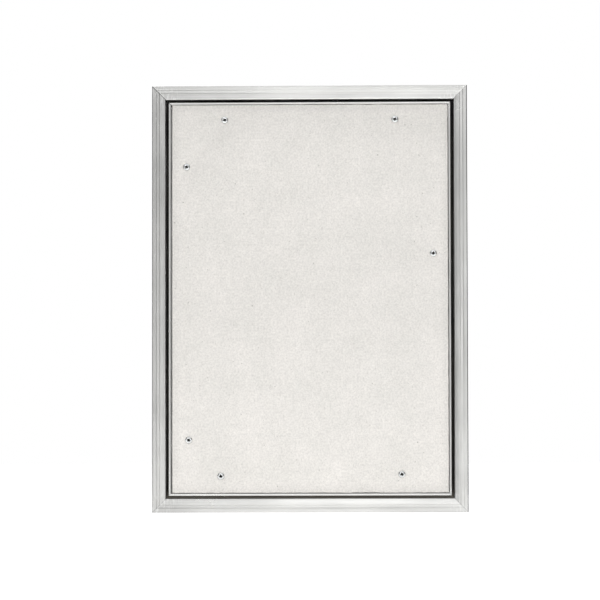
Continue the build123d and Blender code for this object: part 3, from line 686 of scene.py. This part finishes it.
# Edges that the press, the mould or the header leaves rounded: the start of a node's name and the radius in mm
edgeRounds = {
    "corner_key_screws": 0.2,
    "corner_key_": 0.4,
    "control_lever_": 0.25,
    "main_lever_": 0.25,
    "hinge_frame_bracket_": 0.25,
    "hinge_door_bracket_": 0.25,
    "latch_bracket_rivets": 0.25,
    "latch_bracket": 0.25,
    "door_corner_plate_": 0.25,
    "strike_plate": 0.2,
    "door_corner_rivets": 0.25,
    "hinge_base_rivets": 0.25,
    "hinge_web_rivets": 0.25,
    "hinge_door_pins_": 0.3,
    "hinge_frame_pins_": 0.3,
    "latch_housing_screws": 0.15,
    "latch_housing": 0.4,
    "latch_end_cap": 0.4,
    "latch_plunger": 0.2,
}


def roundEdges(node, radius):
    weld = node.modifiers.new("joinSplitEdges", "WELD")
    weld.merge_threshold = 0.001 * mm
    flat = node.modifiers.new("mergeFlatFaces", "DECIMATE")
    flat.decimate_type = "DISSOLVE"
    flat.angle_limit = math.radians(0.5)
    edge = node.modifiers.new("roundEdges", "BEVEL")
    edge.width = radius * mm
    edge.segments = 2
    edge.limit_method = "ANGLE"
    edge.angle_limit = math.radians(40)
    edge.harden_normals = True
    for face in node.data.polygons:
        face.use_smooth = True


for name, node in nodes.items():
    radius = next((size for start, size in edgeRounds.items() if name.startswith(start)), None)
    if radius:
        roundEdges(node, radius)
print("rounded edges", len(edgeRounds), "kinds")


# Places of the separate solids in one node, as pairs of corners
def solidsIn(name):
    work = bmesh.new()
    work.from_mesh(nodes[name].data)
    bmesh.ops.remove_doubles(work, verts=work.verts, dist=0.001 * mm)
    left = set(work.verts)
    found = []
    while left:
        group = [left.pop()]
        for vertex in group:
            for edge in vertex.link_edges:
                for end in edge.verts:
                    if end in left:
                        left.remove(end)
                        group.append(end)
        low = Vector(min(v.co[i] for v in group) for i in range(3))
        high = Vector(max(v.co[i] for v in group) for i in range(3))
        found.append((low, high))
    work.free()
    return sorted(found, key=lambda pair: (round(pair[0].z, 5), round(pair[0].x, 5)))


# Rings of points joined into a skin
def skinOfRings(work, rings, closed=True):
    loops = [[work.verts.new(point) for point in ring] for ring in rings]
    for first, second in zip(loops, loops[1:]):
        count = len(first)
        for i in range(count if closed else count - 1):
            j = (i + 1) % count
            work.faces.new((first[i], first[j], second[j], second[i]))
    return loops


# Board screw: countersunk head with a round rim, a dished face, a cross recess and a coarse thread, in mm
screwShape = {
    "headRadius": 3.88,
    "headDepth": 2.9,
    "faceRadius": 2.1,     # the rim is rounded outside this
    "rimDrop": 1.0,
    "dish": 0.4,           # the head falls this much towards its recess
    "shankRadius": 1.75,
    "rootRadius": 1.15,
    "threadTop": 4.2,      # below the head's face
    "pitch": 1.6,
    "length": 19.7,
    "pointLength": 3.0,
    "recessSpan": 4.2,
    "recessWidth": 1.0,
    "recessDepth": 2.2,
    "pitRadius": 1.35,
    "pitFloor": 0.9,
    "around": 32,
    "tilt": 3.0,           # degrees that a screw may lean
    "seed": 7,
}


def screwMesh(shape):
    around = shape["around"]
    work = bmesh.new()
    face, rimWidth = shape["faceRadius"], shape["headRadius"] - shape["faceRadius"]
    profile = [(0.0, shape["dish"]), (0.5 * face, 0.85 * shape["dish"]), (0.85 * face, 0.25 * shape["dish"])]
    for step in range(7):
        turn = math.radians(15 * step)
        profile.append((face + rimWidth * math.sin(turn), shape["rimDrop"] * (1 - math.cos(turn))))
    profile += [
        (0.96 * shape["headRadius"], 1.25 * shape["rimDrop"]),
        (shape["shankRadius"], shape["headDepth"] + 0.4),
        (shape["shankRadius"], shape["threadTop"]),
    ]
    rings = []
    for radius, depth in profile:
        reach = max(radius, 0.02)
        turns = [math.tau * i / around for i in range(around)]
        rings.append([(reach * math.cos(t), reach * math.sin(t), depth) for t in turns])
    steps = int((shape["length"] - shape["threadTop"]) / shape["pitch"] * 8)
    for step in range(1, steps + 1):
        depth = shape["threadTop"] + (shape["length"] - shape["threadTop"]) * step / steps
        taper = min(1.0, (shape["length"] - depth) / shape["pointLength"])
        ring = []
        for i in range(around):
            turn = i / around
            phase = (depth / shape["pitch"] - turn) % 1.0
            crest = max(0.0, 1.0 - abs(phase - 0.5) / 0.28)
            radius = shape["rootRadius"] + (shape["shankRadius"] - shape["rootRadius"]) * crest
            radius *= max(0.03, taper)
            ring.append((radius * math.cos(math.tau * turn), radius * math.sin(math.tau * turn), depth))
        rings.append(ring)
    loops = skinOfRings(work, rings)
    work.faces.new(list(reversed(loops[0])))
    work.faces.new(loops[-1])
    bmesh.ops.recalc_face_normals(work, faces=work.faces)
    mesh = bpy.data.meshes.new("boardScrew")
    work.to_mesh(mesh)
    work.free()
    for coordinate in mesh.vertices:
        coordinate.co *= mm
    return mesh


def recessMesh(shape):   # a tapered cross with a round pit in its middle
    work = bmesh.new()
    span, width, depth = shape["recessSpan"] / 2, shape["recessWidth"] / 2, shape["recessDepth"]
    top, bottom = -1.0, depth
    for turn in (0, 1):
        rings = []
        for level, share in ((top, 1.15), (bottom, 0.42)):
            a, b = span * share, width * (0.6 + 0.4 * share)
            corners = [(-a, -b), (a, -b), (a, b), (-a, b)]
            rings.append([(x, y, level) if turn == 0 else (-y, x, level) for x, y in corners])
        loops = skinOfRings(work, rings)
        work.faces.new(list(reversed(loops[0])))
        work.faces.new(loops[-1])
    turns = [math.tau * (i + 0.5) / 16 for i in range(16)]
    rings = []
    for radius, level in ((shape["pitRadius"], -1.0), (shape["pitRadius"], shape["dish"]), (shape["pitFloor"], 2.5)):
        rings.append([(radius * math.cos(t), radius * math.sin(t), level) for t in turns])
    loops = skinOfRings(work, rings)
    work.faces.new(list(reversed(loops[0])))
    work.faces.new(loops[-1])
    bmesh.ops.recalc_face_normals(work, faces=work.faces)
    mesh = bpy.data.meshes.new("crossRecess")
    work.to_mesh(mesh)
    work.free()
    for coordinate in mesh.vertices:
        coordinate.co *= mm
    return mesh


def cutAway(mesh, cutter, name):   # mesh with cutter taken out of it
    block = bpy.data.objects.new(name + "Blank", mesh)
    tool = bpy.data.objects.new(name + "Tool", cutter)
    for thing in (block, tool):
        bpy.context.collection.objects.link(thing)
    cut = block.modifiers.new("cut", "BOOLEAN")
    cut.object = tool
    cut.operation = "DIFFERENCE"
    cut.solver = "EXACT"
    cut.use_self = True
    graph = bpy.context.evaluated_depsgraph_get()
    result = bpy.data.meshes.new_from_object(block.evaluated_get(graph))
    result.name = name
    for thing in (block, tool):
        bpy.data.objects.remove(thing)
    return result


def buildBoardScrews(shape):
    blank = cutAway(screwMesh(shape), recessMesh(shape), "boardScrew")
    # Faces deep in the recess, which take the painted recess shade
    inRecess = [
        math.hypot(face.center.x, face.center.y) < (shape["pitRadius"] + 0.1) * mm
        and (shape["dish"] + 0.1) * mm < face.center.z < 2.6 * mm
        for face in blank.polygons
    ]
    draw = random.Random(shape["seed"])
    spots = solidsIn("board_screws")
    for number, (low, high) in enumerate(spots, 1):
        mesh = blank.copy()
        spin = Matrix.Rotation(draw.uniform(0, math.tau), 4, "Z")
        tilt = Matrix.Rotation(math.radians(draw.uniform(0, shape["tilt"])), 4, "X")
        tilt = Matrix.Rotation(draw.uniform(0, math.tau), 4, "Z") @ tilt
        centre = Matrix.Translation(((low.x + high.x) / 2, low.y, (low.z + high.z) / 2))
        mesh.transform(centre @ toBack @ tilt @ spin)
        for face in mesh.polygons:
            face.use_smooth = True
        mesh.set_sharp_from_angle(angle=math.radians(35))
        piece = newPiece(f"board_screw_{number}", mesh, small["zincPlatedSteel"], "door")
        mesh.materials.append(small["paintedRecessShade"])
        for face, dark in zip(mesh.polygons, inRecess):
            face.material_index = int(dark)
        if number == 1:
            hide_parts("board_screws")
    print("board screws", len(spots))
    return [((low.x + high.x) / 2, (low.z + high.z) / 2) for low, high in spots]


screwSpots = buildBoardScrews(screwShape)


# Tile board: sawn edges that crumble, and a crushed seat round each screw, in mm
boardShape = {
    "lipGap": {"left": 1.8, "right": 0.95, "top": 0.55, "bottom": 1.05},
    "ragged": {"left": 0.15, "right": 0.3, "top": 0.3, "bottom": 0.5},
    "cadGap": 0.7,          # the plain board's distance from the lip
    "leastGap": 0.08,
    "step": 1.3,            # between the points of an edge
    "chip": 0.55,           # deepest crumble of the front corner
    "seatRadius": 4.7,
    "seatDepth": 0.28,
    "holeRadius": 4.05,
    "coneEnd": 2.9,
    "shankHole": 1.8,
    "around": 48,
    "seed": 3.7,
}


def wander(along, seed, size):   # a repeatable wobble from -1 to 1
    return noise.noise(Vector((along / size, seed, 0.5 * seed)))


def boardEdge(shape, low, high):
    sides = [
        ("bottom", (low.x, low.z), (1, 0), (0, 1), high.x - low.x),
        ("right", (high.x, low.z), (0, 1), (-1, 0), high.z - low.z),
        ("top", (high.x, high.z), (-1, 0), (0, -1), high.x - low.x),
        ("left", (low.x, high.z), (0, -1), (1, 0), high.z - low.z),
    ]
    points = []
    for index, (side, start, along, inward, length) in enumerate(sides):
        count = int(length / (shape["step"] * mm))
        for i in range(count):
            run = length * (i + 0.5) / count
            seed = shape["seed"] + 3 * index
            rough = 0.6 * wander(run, seed, 9 * mm) + 0.5 * wander(run, seed + 1, 2.6 * mm)
            gap = max(shape["leastGap"], shape["lipGap"][side] + 1.6 * shape["ragged"][side] * rough)
            inset = (gap - shape["cadGap"]) * mm
            chip = shape["chip"] * mm * (0.35 + 0.65 * abs(wander(run, seed + 2, 3.2 * mm)) * 1.8)
            points.append({
                "corner": Vector((start[0] + along[0] * run, start[1] + along[1] * run)),
                "inward": Vector(inward), "inset": inset, "chip": chip,
            })
    return points


def buildTileBoard(shape, spots):
    low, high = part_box("tile_board")
    edge = boardEdge(shape, low, high)
    levels = [   # distance behind the front face, and the share of the crumble there
        (0.0, 1.0, 0.0), (0.25 * mm, 0.45, 0.0), (0.6 * mm, 0.0, 0.0),
        (high.y - 0.5 * mm, 0.0, 0.0), (high.y, 0.0, 0.4 * mm),
    ]
    rings = []
    for depth, chipShare, bevel in levels:
        ring = []
        for point in edge:
            spot = point["corner"] + point["inward"] * (point["inset"] + chipShare * point["chip"] + bevel)
            ring.append((spot.x, depth, spot.y))
        rings.append(ring)
    work = bmesh.new()
    outer = skinOfRings(work, rings)
    front, back = [outer[0]], [outer[-1]]
    for number, (x, z) in enumerate(spots):
        seat = [
            (shape["seatRadius"], 0.0, 0.35), (0.5 * (shape["seatRadius"] + shape["holeRadius"]), 0.12, 0.3),
            (shape["holeRadius"] + 0.1, shape["seatDepth"], 0.18), (shape["holeRadius"] - 0.1, 0.8, 0.05),
            (shape["shankHole"], shape["coneEnd"], 0.0), (shape["shankHole"], high.y / mm, 0.0),
        ]
        holeRings = []
        for radius, depth, rough in seat:
            ring = []
            for i in range(shape["around"]):
                turn = math.tau * i / shape["around"]
                wobble = noise.noise(Vector((2.2 * math.cos(turn), 2.2 * math.sin(turn), 5.1 * number + radius)))
                reach = (radius + rough * wobble) * mm
                ring.append((x + reach * math.cos(turn), depth * mm, z + reach * math.sin(turn)))
            holeRings.append(ring)
        loops = skinOfRings(work, holeRings)
        front.append(loops[0])
        back.append(loops[-1])
    for loops, normal in ((front, (0, -1, 0)), (back, (0, 1, 0))):
        border = []
        for loop in loops:
            for a, b in zip(loop, loop[1:] + loop[:1]):
                border.append(work.edges.get((a, b)) or work.edges.new((a, b)))
        bmesh.ops.triangle_fill(work, edges=border, use_beauty=True, use_dissolve=False, normal=normal)
    bmesh.ops.recalc_face_normals(work, faces=work.faces)
    mesh = bpy.data.meshes.new("tileBoard")
    work.to_mesh(mesh)
    work.free()
    for face in mesh.polygons:
        face.use_smooth = True
    mesh.set_sharp_from_angle(angle=math.radians(30))
    piece = newPiece("tile_board_sawn", mesh, fibreboard, "door")
    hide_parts("tile_board")
    print("tile board", len(mesh.polygons), "faces")


buildTileBoard(boardShape, screwSpots)
